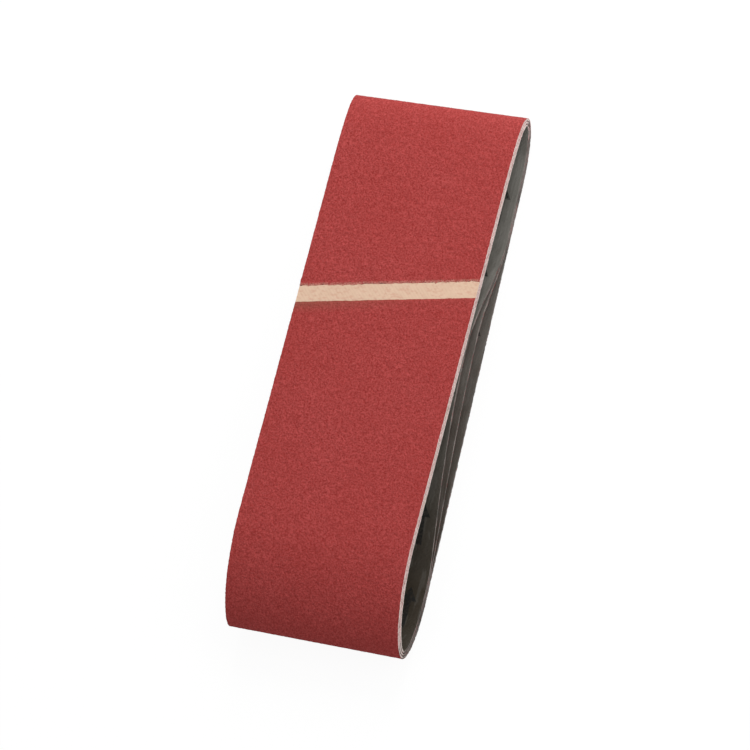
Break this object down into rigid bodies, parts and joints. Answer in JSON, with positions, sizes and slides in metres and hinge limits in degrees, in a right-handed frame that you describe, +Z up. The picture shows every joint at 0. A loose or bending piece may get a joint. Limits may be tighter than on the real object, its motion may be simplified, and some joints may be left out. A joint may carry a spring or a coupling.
{
  "type": "sanding belt pack",
  "caption": "Pack of endless cloth sanding belts for a hand-held belt sander, folded flat one inside the other, each with a skewed glued joint.",
  "frame": {"origin": "on the surface that the pack lies on, under the middle of its length and width", "axes": "+X along the pack to its narrow fold, Y across the belts' width, +Z up through the webs"},
  "size_m": [0.2212, 0.075, 0.0277],
  "materials": {
    "grit": "red grit held in matt resin",
    "joint": "pale cloth filled with glue, with no grit on it",
    "cloth": "stiff cotton twill, seen at its cut edges",
    "back_film": "dark resin film over the weave"
  },
  "bodies": {
    "outer_belt": {"outer_grit_coat": "grit", "outer_joint_strip": "joint", "outer_cloth": "cloth", "outer_back_film": "back_film"},
    "middle_belt": {"middle_grit_coat": "grit", "middle_joint_strip": "joint", "middle_cloth": "cloth", "middle_back_film": "back_film"},
    "inner_belt": {"inner_grit_coat": "grit", "inner_joint_strip": "joint", "inner_cloth": "cloth", "inner_back_film": "back_film"}
  },
  "joints": [
    {"name": "middle_belt_pull", "type": "slide", "parent": "outer_belt", "child": "middle_belt", "axis": [0, 1, 0], "range_m": [-0.08, 0.08]},
    {"name": "inner_belt_pull", "type": "slide", "parent": "middle_belt", "child": "inner_belt", "axis": [0, 1, 0], "range_m": [-0.08, 0.08]}
  ]
}
